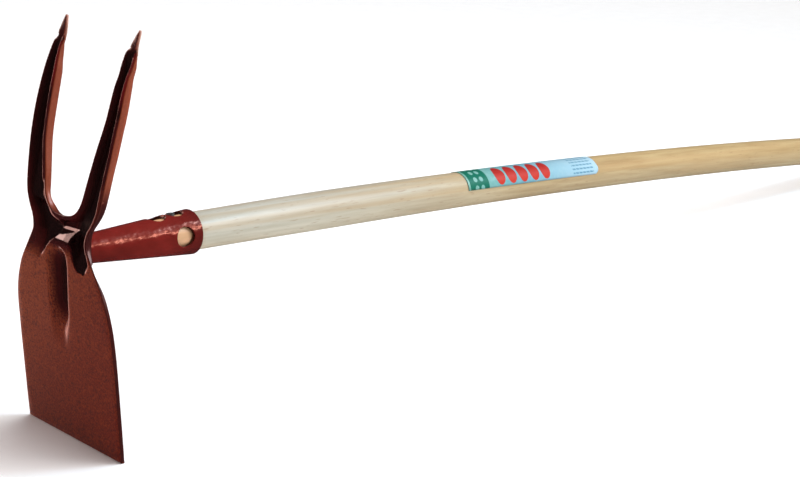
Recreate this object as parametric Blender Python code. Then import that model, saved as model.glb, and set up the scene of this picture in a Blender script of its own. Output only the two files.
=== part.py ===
"""Double hoe: a pressed steel head with a blade below and two channel tines above, welded to a rolled
conical socket that is driven onto a long hardwood handle and held there by a nail.

The shapes are drawn in the tool's own frame, in metres: x runs along the socket from the head to the handle,
y across the blade and z up the tines, from the middle of the socket's mouth. Every point is then turned into
the standing pose, with the cutting edge and the handle's far end on the plane z = 0 and the origin under the
middle of the cutting edge."""

import math

import bmesh
import bpy
import numpy as np
from mathutils import Matrix, Vector
from mathutils.geometry import delaunay_2d_cdt

# Clearance between pieces that touch
GAP = 0.0003

# Head: thickness of the sheet, height of the cutting edge and the front surface seen from the side, as (z, x)
SHEET = 0.0028
EDGE_Z = -0.1271
NECK_X = -0.1038
FRONT_CURVE = (
    (-0.1271, -0.0874), (-0.0620, -0.0961), (-0.0220, -0.1015), (-0.0020, -0.1033), (0.0114, NECK_X),
    (0.0254, -0.1030), (0.0483, -0.1004), (0.0682, -0.0976), (0.0881, -0.0939), (0.1080, -0.0897),
    (0.1228, -0.0848), (0.1327, -0.0815), (0.1427, -0.0785),
)

# Head outline on one side, as (y, z) points that smooth curves run through
OUTER_CURVE = (
    (0.0503, EDGE_Z), (0.0506, -0.1070), (0.0506, -0.0620), (0.0492, -0.0367), (0.0433, -0.0167),
    (0.0346, -0.0016), (0.0286, 0.0085), (0.0279, 0.0134), (0.0293, 0.0184), (0.0328, 0.0238),
    (0.0354, 0.0284), (0.0375, 0.0334), (0.0394, 0.0430), (0.0419, 0.0680), (0.0433, 0.0880),
    (0.0425, 0.1080), (0.0411, 0.1200), (0.0400, 0.1262),
)
TIP_POINTS = (
    (0.0394, 0.1312), (0.0384, 0.1365), (0.0376, 0.1427), (0.0355, 0.1427), (0.0345, 0.1365), (0.0324, 0.1312),
)
INNER_CURVE = (
    (0.0314, 0.1262), (0.0302, 0.1200), (0.0288, 0.1080), (0.0277, 0.0880), (0.0253, 0.0680),
    (0.0217, 0.0480), (0.0193, 0.0370), (0.0162, 0.0309), (0.0118, 0.0272), (0.0063, 0.0255), (0.0, 0.0250),
)

# Channel pressed into each tine and the neck; its rim and wall shrink towards the tip, as (z, share)
RIM_WIDTH = 0.0028
WALL_FOOT = 0.0048
RIM_SHRINK = ((0.105, 1.0), (0.1262, 0.80), (0.1312, 0.70), (0.1427, 0.20))
CHANNEL_DEPTH = 0.0040
CHANNEL_TIP_DEPTH = 0.0022
CHANNEL_FADE = (0.100, 0.1312)
CHANNEL_LOW_Z = -0.0100
SHOULDER_Z = (0.1262, 0.1312)
TIP_SHEET = 0.0010
SHEET_FADE = (0.108, 0.1427)
TIP_RIDGE_SHARE = 0.35
TIP_SIDE_SHARE = 0.6
FOLD_ROUND_SHARE = 0.8

# How far behind the front the flanges' sides reach beyond the sheet's thickness, as (z, share of the depth)
FLANGE_SHARE = (
    (0.000, 0.25), (0.022, 0.10), (0.030, -0.30), (0.050, -0.30), (0.070, 0.22), (0.104, 0.22), (0.125, -0.35),
)

# Rounded lower end of each channel, beside the tongue: middle, height and how far its wall reaches
POCKET_Y = 0.0225
POCKET_Z = -0.0035
POCKET_WALL = (0.0025, 0.0062)
POCKET_FREE_Z = 0.0060

# Draft of the outside of the neck: its flanges flare towards the front, as (z, inset of the back)
NECK_DRAFT = (
    (-0.030, 0.0003), (-0.018, 0.0006), (-0.006, 0.0028), (0.016, 0.0034), (0.030, 0.0012), (0.045, 0.0004),
)
DRAFT_REACH = 3.0

# Tongue of blade that reaches up between the channels, and the trough pressed into it
TONGUE_HALF_WIDTH = 0.003
TONGUE_TOP_Z = -0.001
TONGUE_SLOPE = (0.0075, 0.0150)
TROUGH_DEPTH = 0.0050
TROUGH_TOP_Z = -0.0045
TROUGH_SIDE = (0.0033, 0.0088)
TROUGH_FADE_Z = (-0.058, -0.018)

# Spacing of the head's mesh points
EDGE_STEP = 0.0040
FINE_STEP = 0.0030
COARSE_STEP = 0.0085
RING_OFFSETS = (0.0011, RIM_WIDTH, WALL_FOOT)
PLAIN_Z = (-0.060, -0.012)
PLAIN_Y = 0.014
LEAST_SPACING = 0.0015

# Socket: a cone rolled from sheet, with its seam underneath
MOUTH_RADIUS = 0.0153
SOCKET_TAPER = 0.070
SOCKET_WALL = 0.0021
SEAM_WIDTH = 0.0012
SOCKET_SIDES = 48
SOCKET_RINGS = 6

# Nail holes in the socket: their diameter, the cutters' reach from the axis, and for each hole its distance
# along the socket and its angle up from the near side
HOLE_DIAMETER = 0.0136
HOLE_REACH = (0.006, 0.020)
NAIL_HOLES = {"side": (-0.0137, 6.0), "top_outer": (-0.0125, 100.0), "top_inner": (-0.0275, 98.0)}
HOLE_SIDES = 28

# Weld bead round the socket's end
WELD_LEG = 0.0042
WELD_TOE = 0.0007
WELD_HOLLOW = 0.45
WELD_SIDES = 40

# Handle: natural bow, radii, lengths
HANDLE_BOW = 0.03654
HANDLE_RADIUS = 0.0140
HANDLE_START_X = -0.078
HANDLE_SWELL = (-0.020, 0.140)
HANDLE_END_X = 1.120
END_ROUND = 0.004
HANDLE_SIDES = 24
FITTED_RINGS, SWELL_RINGS, PLAIN_RINGS, BUTT_RINGS = 3, 4, 14, 3

# Nail through the outer top hole
NAIL_X = -0.0150
NAIL_ANGLE = 100.0
NAIL_HEAD_RADIUS = 0.0032
NAIL_HEAD_HEIGHT = 0.0021
NAIL_SHANK_RADIUS = 0.0014
NAIL_LENGTH = 0.020
NAIL_POINT = (0.004, 0.0003)
NAIL_DOME = ((0.0, 1.0), (0.6, 1.0), (0.9, 0.75), (1.0, 0.35))
NAIL_SIDES = 16

# Label wrapped over the handle's upper side
LABEL_SPAN = (0.270, 0.443)
LABEL_ANGLES = (10.0, 170.0)
LABEL_THICKNESS = 0.0003
LABEL_STATIONS, LABEL_TURNS = 9, 17


def clear_scene():
    for old in list(bpy.data.objects):
        bpy.data.objects.remove(old, do_unlink=True)


def ease(value, start, end):
    """0 at start and before, 1 at end and after, with a smooth rise between."""
    t = np.clip((value - start) / (end - start), 0.0, 1.0)
    return t * t * (3.0 - 2.0 * t)


def mix(a, b, t):
    return a + (b - a) * t


def through(controls, at):
    """Smooth function through (place, value) controls, held level past both ends."""
    places, values = np.array(controls).T
    slopes = np.gradient(values, places)
    at = np.clip(at, places[0], places[-1])
    i = np.clip(np.searchsorted(places, at) - 1, 0, len(places) - 2)
    width = places[i + 1] - places[i]
    t = (at - places[i]) / width
    bulge = width * t * (1.0 - t) * ((1.0 - t) * slopes[i] - t * slopes[i + 1])
    return mix(values[i], values[i + 1], t * t * (3.0 - 2.0 * t)) + bulge


def smooth_curve(controls, step, last=None):
    """Points about a step apart along a Catmull-Rom curve; last is the point that it heads for at its end."""
    points = [Vector(c) for c in controls]
    points = [2 * points[0] - points[1]] + points + [last or 2 * points[-1] - points[-2]]
    found = []
    for a, b, c, d in zip(points, points[1:], points[2:], points[3:]):
        count = max(1, round((c - b).length / step))
        for i in range(count):
            t = i / count
            bend = (2 * a - 5 * b + 4 * c - d) * t + (3 * b - a - 3 * c + d) * t * t
            found.append(b + 0.5 * t * ((c - a) + bend))
    found.append(points[-2])
    return found


def front_x(z):
    return through(FRONT_CURVE, z)


def edge_scale(z):
    """How far the channel's rim and wall shrink with the tine towards its tip."""
    places, shares = zip(*RIM_SHRINK)
    return np.interp(z, places, shares)


def channel_depth(y, z):
    """Depth of the channel at its middle: full in the tines, none in the tongue and the blade."""
    tongue = np.hypot(np.clip(abs(y) - TONGUE_HALF_WIDTH, 0.0, None), np.clip(z - TONGUE_TOP_Z, 0.0, None))
    beside = abs(y) - POCKET_Y - 2.0 * np.clip(z - POCKET_FREE_Z, 0.0, None)
    pocket = np.hypot(np.clip(beside, 0.0, None), np.clip(POCKET_Z - z, 0.0, None))
    depth = mix(CHANNEL_DEPTH, CHANNEL_TIP_DEPTH, ease(z, *CHANNEL_FADE))
    return depth * ease(tongue, *TONGUE_SLOPE) * (1.0 - ease(pocket, *POCKET_WALL))


def trough_depth(y, z):
    reach = np.hypot(y, np.clip(z - TROUGH_TOP_Z, 0.0, None))
    return TROUGH_DEPTH * (1.0 - ease(reach, *TROUGH_SIDE)) * ease(z, *TROUGH_FADE_Z)


def sheet_at(z):
    return mix(SHEET, TIP_SHEET, ease(z, *SHEET_FADE))


def head_front(y, z, inward):
    """x of the front surface at (y, z), a scaled distance inward from the rim."""
    past_shoulder = ease(z, *SHOULDER_Z)
    wall = np.maximum(ease(inward, RIM_WIDTH, WALL_FOOT), past_shoulder)
    ridge = TIP_RIDGE_SHARE * sheet_at(z) * past_shoulder * (1.0 - ease(inward, 0.0, WALL_FOOT))
    return front_x(z) + channel_depth(y, z) * wall + trough_depth(y, z) + ridge


def head_back(y, z, inward):
    """x of the back surface, whose corners are rounded where the sheet folds into a channel."""
    depth = channel_depth(y, z)
    sheet = sheet_at(z)
    spike_side = depth + TIP_SIDE_SHARE * sheet
    side = mix(sheet + through(FLANGE_SHARE, z) * depth, spike_side, ease(z, *SHOULDER_Z))
    full = sheet + depth
    fold = np.clip(inward / (FOLD_ROUND_SHARE * depth + 0.0001), 0.0, 1.0)
    rounded = side + (full - side) * np.sqrt(1.0 - (1.0 - fold) ** 2)
    return front_x(z) + rounded + trough_depth(y, z)


def half_outline():
    """One side of the head's outline, from the cutting edge up and round the tine to the crotch."""
    tip = [Vector(p) for p in TIP_POINTS]
    mirrored = Vector((-INNER_CURVE[-2][0], INNER_CURVE[-2][1]))
    return smooth_curve(OUTER_CURVE, EDGE_STEP) + tip + smooth_curve(INNER_CURVE, EDGE_STEP, mirrored)


def head_outline():
    """The whole outline, anticlockwise in (y, z)."""
    left = half_outline()
    right = [Vector((-p.x, p.y)) for p in reversed(left[:-1])]
    corner = OUTER_CURVE[0][0]
    count = round(2 * corner / COARSE_STEP)
    bottom = [Vector((mix(-corner, corner, i / count), EDGE_Z)) for i in range(1, count)]
    return left + right + bottom


def inward_normals(outline):
    found = []
    for before, after in zip(outline[-1:] + outline[:-1], outline[1:] + outline[:1]):
        along = (after - before).normalized()
        found.append(Vector((-along.y, along.x)))
    return found


def rim_rings(outline):
    """Offset chains of points that follow the channel's rim and the foot of its wall."""
    chains = []
    normals = inward_normals(outline)
    for offset in RING_OFFSETS:
        chain = []
        for point, normal in zip(outline, normals):
            if CHANNEL_LOW_Z < point.y < SHOULDER_Z[0] + 0.0001:
                chain.append(point + normal * (offset * float(edge_scale(point.y))))
            else:
                chains.append(chain)
                chain = []
        chains.append(chain)
    return [chain for chain in chains if len(chain) > 1]


def tip_ridges():
    """Points down the middle of each spike, where its front has a ridge."""
    middles = [(Vector(a) + Vector(b)) / 2 for a, b in zip(TIP_POINTS[:2], TIP_POINTS[:-3:-1])]
    return middles + [Vector((-p.x, p.y)) for p in middles]


def nearest_on(points, chain):
    """Distance and direction to each of the points from the nearest spot on the open chain."""
    chain = np.array(chain)
    away = np.full(points.shape, 1.0)
    for start, end in zip(chain[:-1], chain[1:]):
        along = end - start
        t = np.clip((points - start) @ along / (along @ along), 0.0, 1.0)
        here = points - start - t[:, None] * along
        nearer = (here**2).sum(axis=1) < (away**2).sum(axis=1)
        away[nearer] = here[nearer]
    distance = np.linalg.norm(away, axis=1)
    return distance, away / np.clip(distance, 1e-9, None)[:, None]


def is_pressed(y, z):
    """Whether (y, z) lies in the part of the head that has channels or the trough pressed into it."""
    return z > PLAIN_Z[1] or (z > PLAIN_Z[0] and abs(y) < PLAIN_Y)


def grid_points(taken):
    """Inner points on a triangular grid, fine where the sheet is pressed and coarse where it's plain."""
    found = []
    for step, pressed in ((FINE_STEP, True), (COARSE_STEP, False)):
        rise = step * math.sqrt(0.75)
        across = int(OUTER_CURVE[1][0] / step) + 1
        for row in range(1, int((SHOULDER_Z[0] - EDGE_Z) / rise) + 1):
            for column in range(-across, across + 1):
                y, z = (column + 0.5 * (row % 2)) * step, EDGE_Z + row * rise
                if is_pressed(y, z) == pressed:
                    found.append((y, z, step))
    found = np.array(found)
    room, _ = nearest_on(found[:, :2], taken)
    return [Vector((y, z)) for (y, z, step), free in zip(found, room) if free > 0.7 * step]


def inside(points, outline):
    """Which of the points lie inside the closed outline."""
    found = np.zeros(len(points), bool)
    for a, b in zip(outline, outline[1:] + outline[:1]):
        crosses = (a.y > points[:, 1]) != (b.y > points[:, 1])
        with np.errstate(divide="ignore", invalid="ignore"):
            at = a.x + (points[:, 1] - a.y) / (b.y - a.y) * (b.x - a.x)
        found ^= crosses & (points[:, 0] < at)
    return found


def head_layout():
    """Flat points and triangles of the head, as seen from the front."""
    outline = head_outline()
    points = list(outline)
    edges = [(i, (i + 1) % len(outline)) for i in range(len(outline))]
    for chain in rim_rings(outline):
        first = len(points)
        points += chain
        edges += [(first + i, first + i + 1) for i in range(len(chain) - 1)]
    points += tip_ridges()
    fill = grid_points([tuple(p) for p in outline + outline[:1]])
    rims = np.array([tuple(p) for p in points])
    kept = inside(np.array([tuple(p) for p in fill]), outline)
    for point, is_inside in zip(fill, kept):
        if is_inside and np.hypot(rims[:, 0] - point.x, rims[:, 1] - point.y).min() > LEAST_SPACING:
            points.append(point)
    found, _, faces, *_ = delaunay_2d_cdt(points, edges, [], 0, 1e-6)
    flat = np.array([tuple(p) for p in found])
    middles = np.array([flat[list(face)].mean(axis=0) for face in faces])
    faces = [face for face, is_inside in zip(faces, inside(middles, outline)) if is_inside]
    return flat, faces, outline


def tool_lean():
    """Angle by which the socket slopes down when the cutting edge and the handle's end touch the ground."""
    edge = (float(front_x(EDGE_Z)), EDGE_Z)
    lowest = math.pi
    for x, radius in handle_profile():
        if x > HANDLE_END_X / 2:
            across = handle_frame(x) @ Vector((0.0, 0.0, -radius))
            lowest = min(lowest, math.atan2(across.z - edge[1], across.x - edge[0]))
    return lowest


def handle_frame(x):
    """Frame of the handle at x: straight in the socket, then along its bow."""
    along = max(x, 0.0)
    drop = -HANDLE_BOW * along * along
    turn = math.atan(2 * HANDLE_BOW * along)
    return Matrix.Translation((x, 0.0, drop)) @ Matrix.Rotation(turn, 4, "Y")


def fitted_radius(x):
    """Radius of the wood inside the socket."""
    return socket_radius(x) - SOCKET_WALL - GAP


def handle_profile():
    """(x, radius) stations of the handle from its tapered end to its rounded butt."""
    stations = []
    for i in range(FITTED_RINGS + 1):
        x = mix(HANDLE_START_X, 0.0, i / FITTED_RINGS)
        stations.append((x, fitted_radius(x)))
    for i in range(1, SWELL_RINGS + 1):
        x = HANDLE_SWELL[1] * i / SWELL_RINGS
        stations.append((x, mix(fitted_radius(0.0), HANDLE_RADIUS, float(ease(x, *HANDLE_SWELL)))))
    plain = HANDLE_END_X - END_ROUND
    for i in range(1, PLAIN_RINGS + 1):
        stations.append((mix(HANDLE_SWELL[1], plain, i / PLAIN_RINGS), HANDLE_RADIUS))
    for i in range(1, BUTT_RINGS + 1):
        turn = math.pi / 2 * i / BUTT_RINGS
        stations.append((plain + END_ROUND * math.sin(turn), HANDLE_RADIUS - END_ROUND * (1 - math.cos(turn))))
    return stations


def standing_pose():
    """Transform from the tool's frame to the standing pose."""
    lean = tool_lean()
    turn = Matrix.Rotation(lean, 4, "Y")
    front = turn @ Vector((float(front_x(EDGE_Z)), 0.0, EDGE_Z))
    middle = front.x + SHEET / (2 * math.cos(lean))
    return Matrix.Translation((-middle, 0.0, -front.z)) @ turn


def socket_radius(x):
    return MOUTH_RADIUS + SOCKET_TAPER * x


def round_point(x, angle, radius):
    """Point on a circle round the socket's axis; the angle runs up from the near side."""
    turn = math.radians(angle)
    return Vector((x, -radius * math.cos(turn), radius * math.sin(turn)))


def back_of_head(y, z):
    """x just clear of the head's back, for what is welded to it."""
    return float(head_back(y, z, 0.02)) + GAP


def socket_foot(angle, inset=0.0):
    """x where the socket's outside, or its bore at a wall's inset, meets the back of the head at this angle."""
    near = round_point(0.0, angle, socket_radius(NECK_X + SHEET) - inset)
    return back_of_head(near.y, near.z) + GAP


def material(name, color, roughness, metallic=0.0):
    made = bpy.data.materials.new(name)
    made.use_nodes = True
    shader = made.node_tree.nodes["Principled BSDF"]
    shader.inputs["Base Color"].default_value = (*color, 1.0)
    shader.inputs["Roughness"].default_value = roughness
    shader.inputs["Metallic"].default_value = metallic
    return made


def new_object(name, work, finish, sharp=math.radians(35)):
    """Closes off a bmesh drawn in the tool's frame as a named object in the standing pose."""
    bmesh.ops.transform(work, matrix=standing_pose(), verts=work.verts)
    bmesh.ops.recalc_face_normals(work, faces=work.faces)
    mesh = bpy.data.meshes.new(name)
    work.to_mesh(mesh)
    work.free()
    mesh.shade_smooth()
    mesh.set_sharp_from_angle(angle=sharp)
    mesh.materials.append(finish)
    made = bpy.data.objects.new(name, mesh)
    bpy.context.scene.collection.objects.link(made)
    return made


def loft(rings):
    """A closed body through rings of points, with a flat face over each end."""
    work = bmesh.new()
    loops = [[work.verts.new(p) for p in ring] for ring in rings]
    for lower, upper in zip(loops, loops[1:]):
        for i in range(len(lower)):
            j = (i + 1) % len(lower)
            work.faces.new((lower[i], lower[j], upper[j], upper[i]))
    work.faces.new(loops[0][::-1])
    work.faces.new(loops[-1])
    return work


def drawn_in(flat, outline, distance, inward):
    """The layout for the back, drawn in along its edge where the neck's flanges flare."""
    inward = inward.copy()
    inward[: len(outline)] = [tuple(n) for n in inward_normals(outline)]
    inset = through(NECK_DRAFT, flat[:, 1])
    share = np.clip(1.0 - distance / (DRAFT_REACH * inset), 0.0, 1.0) ** 2
    return flat + inward * (inset * share)[:, None]


def make_head(finish):
    flat, faces, outline = head_layout()
    rim = [tuple(p) for p in outline if p.y > EDGE_Z + 1e-6]
    distance, inward = nearest_on(flat, rim)
    scaled = distance / edge_scale(flat[:, 1])
    behind = drawn_in(flat, outline, distance, inward)
    fronts = np.column_stack([head_front(*flat.T, scaled), flat])
    backs = np.column_stack([head_back(*behind.T, scaled), behind])
    on_edge = flat[:, 1] < EDGE_Z + 1e-6
    backs[on_edge, 1] = flat[on_edge, 0]
    backs[on_edge, 2] = EDGE_Z + (backs[on_edge, 0] - fronts[on_edge, 0]) * math.tan(tool_lean())
    work = bmesh.new()
    front = [work.verts.new(p) for p in fronts]
    back = [work.verts.new(p) for p in backs]
    sides = {(a, b) for face in faces for a, b in zip(face, face[1:] + face[:1])}
    for a, b, c in faces:
        work.faces.new((front[a], front[c], front[b]))
        work.faces.new((back[a], back[b], back[c]))
    for a, b in sides:
        if (b, a) not in sides:
            work.faces.new((front[a], front[b], back[b], back[a]))
    return new_object("head", work, finish)


def make_socket(finish):
    """The rolled cone. Each ring of it runs up the outside and back down the inside."""
    half_seam = math.degrees(SEAM_WIDTH / 2 / MOUTH_RADIUS)
    work = bmesh.new()
    columns = []
    for i in range(SOCKET_SIDES + 1):
        angle = mix(-90.0 + half_seam, 270.0 - half_seam, i / SOCKET_SIDES)
        column = []
        for wall in (0.0, SOCKET_WALL):
            foot = socket_foot(angle, wall)
            spots = [mix(0.0, foot, k / SOCKET_RINGS) for k in range(SOCKET_RINGS + 1)]
            spots = spots if wall == 0.0 else spots[::-1]
            column += [work.verts.new(round_point(x, angle, socket_radius(x) - wall)) for x in spots]
        columns.append(column)
    for left, right in zip(columns, columns[1:]):
        for k in range(len(left)):
            m = (k + 1) % len(left)
            work.faces.new((left[k], left[m], right[m], right[k]))
    work.faces.new(columns[0])
    work.faces.new(columns[-1][::-1])
    socket = new_object("socket", work, finish)
    for name, (x, angle) in NAIL_HOLES.items():
        cut_round_hole(socket, name, x, angle, HOLE_DIAMETER / 2, HOLE_REACH)
    return socket


def radial_ring(x, angle, reach, radius, sides):
    """A circle square to a line that leaves the socket's axis at x, at this angle up from the near side."""
    outward = round_point(0.0, angle, 1.0)
    along = Vector((1.0, 0.0, 0.0))
    across = along.cross(outward)
    centre = along * x + outward * reach
    turns = [2 * math.pi * i / sides for i in range(sides)]
    return [centre + (along * math.cos(t) + across * math.sin(t)) * radius for t in turns]


def cut_round_hole(piece, name, x, angle, radius, reaches):
    """Cuts a round hole straight towards the socket's axis, between two distances from it."""
    rings = [radial_ring(x, angle, reach, radius, HOLE_SIDES) for reach in reaches]
    cutter = new_object(f"{piece.name}_{name}_cutter", loft(rings), piece.data.materials[0])
    cutter.hide_render = True
    cutter.display_type = "WIRE"
    cut = piece.modifiers.new(f"{name}_hole", "BOOLEAN")
    cut.operation = "DIFFERENCE"
    cut.object = cutter
    cut.solver = "EXACT"


def make_weld(finish):
    """The fillet of weld metal in the corner between the socket and the back of the head."""
    work = bmesh.new()
    rows = []
    for i in range(WELD_SIDES):
        angle = 360.0 * i / WELD_SIDES
        root = socket_radius(socket_foot(angle)) + GAP
        row = []
        for reach in (0.0, 0.5, 1.0):
            radius = root + reach * WELD_LEG
            spot = round_point(0.0, angle, radius)
            row.append(round_point(back_of_head(spot.y, spot.z) + GAP, angle, radius))
        foot = row[0].x
        row.append(row[-1] + Vector((WELD_TOE, 0.0, 0.0)))
        row.append(round_point(foot + WELD_HOLLOW * WELD_LEG, angle, root + (1 - WELD_HOLLOW) * WELD_LEG))
        row.append(round_point(foot + WELD_LEG, angle, root + SOCKET_TAPER * WELD_LEG + WELD_TOE))
        row.append(round_point(foot + WELD_LEG, angle, root + SOCKET_TAPER * WELD_LEG))
        rows.append([work.verts.new(p) for p in row])
    for left, right in zip(rows, rows[1:] + rows[:1]):
        for k in range(len(left)):
            m = (k + 1) % len(left)
            work.faces.new((left[k], right[k], right[m], left[m]))
    return new_object("weld_bead", work, finish)


def make_handle(finish):
    rings = []
    for x, radius in handle_profile():
        frame = handle_frame(x)
        turns = [2 * math.pi * i / HANDLE_SIDES for i in range(HANDLE_SIDES)]
        rings.append([frame @ Vector((0.0, radius * math.cos(t), radius * math.sin(t))) for t in turns])
    handle = new_object("handle", loft(rings), finish)
    wood = fitted_radius(NAIL_X)
    reaches = (wood - NAIL_LENGTH - GAP, wood + NAIL_HEAD_HEIGHT)
    cut_round_hole(handle, "nail", NAIL_X, NAIL_ANGLE, NAIL_SHANK_RADIUS + GAP, reaches)
    return handle


def make_nail(finish):
    """A round nail: domed head resting on the wood inside the hole, shank and point."""
    wood = fitted_radius(NAIL_X)
    base = wood + 2 * GAP
    point_length, point_radius = NAIL_POINT
    bottom = wood - NAIL_LENGTH + GAP
    profile = [(bottom, point_radius), (bottom + point_length, NAIL_SHANK_RADIUS), (base, NAIL_SHANK_RADIUS)]
    profile += [(base + rise * NAIL_HEAD_HEIGHT, share * NAIL_HEAD_RADIUS) for rise, share in NAIL_DOME]
    rings = [radial_ring(NAIL_X, NAIL_ANGLE, reach, radius, NAIL_SIDES) for reach, radius in profile]
    return new_object("fixing_nail", loft(rings), finish)


def make_label(finish):
    """A thin strip that follows the handle and wraps over its top."""
    arc = [mix(*LABEL_ANGLES, i / (LABEL_TURNS - 1)) for i in range(LABEL_TURNS)]
    inside_radius = HANDLE_RADIUS + GAP
    section = [round_point(0.0, angle, inside_radius) for angle in reversed(arc)]
    section += [round_point(0.0, angle, inside_radius + LABEL_THICKNESS) for angle in arc]
    rings = []
    for k in range(LABEL_STATIONS):
        frame = handle_frame(mix(*LABEL_SPAN, k / (LABEL_STATIONS - 1)))
        rings.append([frame @ point for point in section])
    return new_object("label", loft(rings), finish)


def main():
    clear_scene()
    enamel = material("dark_red_enamel", (0.20, 0.045, 0.035), 0.35, 0.2)
    socket_paint = material("red_enamel", (0.26, 0.02, 0.018), 0.25, 0.2)
    wood = material("pale_wood", (0.68, 0.50, 0.28), 0.45)
    zinc = material("zinc", (0.55, 0.56, 0.55), 0.35, 1.0)
    film = material("label_film", (0.50, 0.70, 0.80), 0.30)
    make_head(enamel)
    make_socket(socket_paint)
    make_weld(socket_paint)
    make_handle(wood)
    make_nail(zinc)
    make_label(film)


main()
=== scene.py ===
import math

import bmesh
import bpy
import numpy as np
from mathutils import Matrix, Vector
from mathutils.geometry import delaunay_2d_cdt


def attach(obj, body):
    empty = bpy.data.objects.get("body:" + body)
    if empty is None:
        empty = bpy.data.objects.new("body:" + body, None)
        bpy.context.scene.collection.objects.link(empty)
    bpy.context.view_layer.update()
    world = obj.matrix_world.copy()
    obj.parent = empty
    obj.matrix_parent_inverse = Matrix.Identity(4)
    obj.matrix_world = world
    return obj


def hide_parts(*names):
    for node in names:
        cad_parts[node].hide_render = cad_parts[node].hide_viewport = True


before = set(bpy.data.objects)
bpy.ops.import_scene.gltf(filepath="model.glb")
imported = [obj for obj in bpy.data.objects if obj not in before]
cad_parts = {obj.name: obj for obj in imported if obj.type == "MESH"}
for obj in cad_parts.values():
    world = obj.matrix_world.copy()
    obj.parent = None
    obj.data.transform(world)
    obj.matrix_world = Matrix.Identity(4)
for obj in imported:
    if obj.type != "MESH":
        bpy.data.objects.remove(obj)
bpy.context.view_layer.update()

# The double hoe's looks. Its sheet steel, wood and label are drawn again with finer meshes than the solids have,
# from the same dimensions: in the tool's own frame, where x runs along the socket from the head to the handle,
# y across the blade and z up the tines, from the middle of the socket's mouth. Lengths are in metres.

# Clearance between pieces, and over the floor
GAP = 0.0003

# Standing pose: how far the tool leans back on its edge, and where its frame then stands
LEAN = 0.0561992
FRAME_PLACE = (0.0929989, 0.0, 0.1219901)
POSE = Matrix.Translation(FRAME_PLACE) @ Matrix.Rotation(LEAN, 4, "Y")

# Head: thickness of the sheet, height of the cutting edge, x of the front at the neck and the whole front surface
# seen from the side, as (z, x)
SHEET = 0.0028
EDGE_Z = -0.1271
NECK_X = -0.1038
FRONT_CURVE = (
    (-0.1271, -0.0874), (-0.062, -0.0961), (-0.022, -0.1015), (-0.002, -0.1033), (0.0114, NECK_X),
    (0.0254, -0.103), (0.0483, -0.1004), (0.0682, -0.0974), (0.0881, -0.0931), (0.108, -0.0884),
    (0.1228, -0.0842), (0.1327, -0.0815), (0.1427, -0.0788),
)

# Head outline on one side, and the inner edges of both tines, as (y, z) points that smooth curves run through
OUTER_CURVE = (
    (0.0503, EDGE_Z), (0.0506, -0.107), (0.0506, -0.062), (0.0492, -0.0367), (0.0433, -0.0167),
    (0.0346, -0.0016), (0.0286, 0.0085), (0.0279, 0.0134), (0.0293, 0.0184), (0.0328, 0.0238),
    (0.0354, 0.0284), (0.0375, 0.0334), (0.0394, 0.043), (0.0419, 0.068), (0.0433, 0.088),
    (0.0425, 0.108), (0.0411, 0.12), (0.0396, 0.1262),
)
LEFT_INNER = (
    (0.0292, 0.1274), (0.0302, 0.1247), (0.0306, 0.1215), (0.0303, 0.116), (0.0291, 0.108), (0.0276, 0.088),
    (0.025, 0.068), (0.0201, 0.048), (0.0176, 0.037), (0.0149, 0.0316), (0.0112, 0.0275), (0.0063, 0.0255),
    (0.0, 0.025),
)
RIGHT_INNER = (
    (0.0314, 0.1274), (0.031, 0.1247), (0.0307, 0.1215), (0.0307, 0.116), (0.0296, 0.108), (0.0287, 0.088),
    (0.0256, 0.068), (0.0217, 0.048), (0.0193, 0.037), (0.0162, 0.0309), (0.0118, 0.0272), (0.0063, 0.0255),
    (0.0, 0.025),
)
# How much further out the right tine's outer edge lies than the left one's, as (z, how far)
RIGHT_SPREAD = ((0.068, 0.0), (0.084, -0.0013), (0.107, -0.0013), (0.116, -0.0004), (0.1262, 0.0033))

# Tips from their base up, as (y, z): the edge at the side of +y, where a flange ends in a notch, and the plain one
LEFT_NOTCHED = (
    (0.0386, 0.1272), (0.0376, 0.1284), (0.0368, 0.1293), (0.0367, 0.1299), (0.0373, 0.1306), (0.0374, 0.1323),
    (0.0368, 0.1339), (0.0362, 0.1371), (0.0356, 0.1396), (0.0351, 0.1416), (0.0344, 0.1425),
)
LEFT_PLAIN = (
    (0.0289, 0.1292), (0.0286, 0.1316), (0.0294, 0.1352), (0.0309, 0.1393), (0.0318, 0.1417), (0.0327, 0.1427),
)
RIGHT_NOTCHED = (
    (-0.0317, 0.129), (-0.0322, 0.1301), (-0.0334, 0.1316), (-0.0345, 0.1322), (-0.0353, 0.1326), (-0.0347, 0.1334),
    (-0.035, 0.1347), (-0.0358, 0.1369), (-0.0372, 0.1405), (-0.0385, 0.1429), (-0.0393, 0.1436),
)
RIGHT_PLAIN = ((-0.0433, 0.1295), (-0.0423, 0.1336), (-0.0418, 0.137), (-0.0413, 0.1417), (-0.0407, 0.1438))

# Both tines' edges at the side of -y, as (z, y), the right one without its spread
LEFT_RIDGE_EDGE = sorted((z, y) for y, z in LEFT_INNER + LEFT_PLAIN)
RIGHT_RIDGE_EDGE = sorted([(z, -y) for y, z in OUTER_CURVE] + [(z, y + RIGHT_SPREAD[-1][1]) for y, z in RIGHT_PLAIN])

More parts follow.
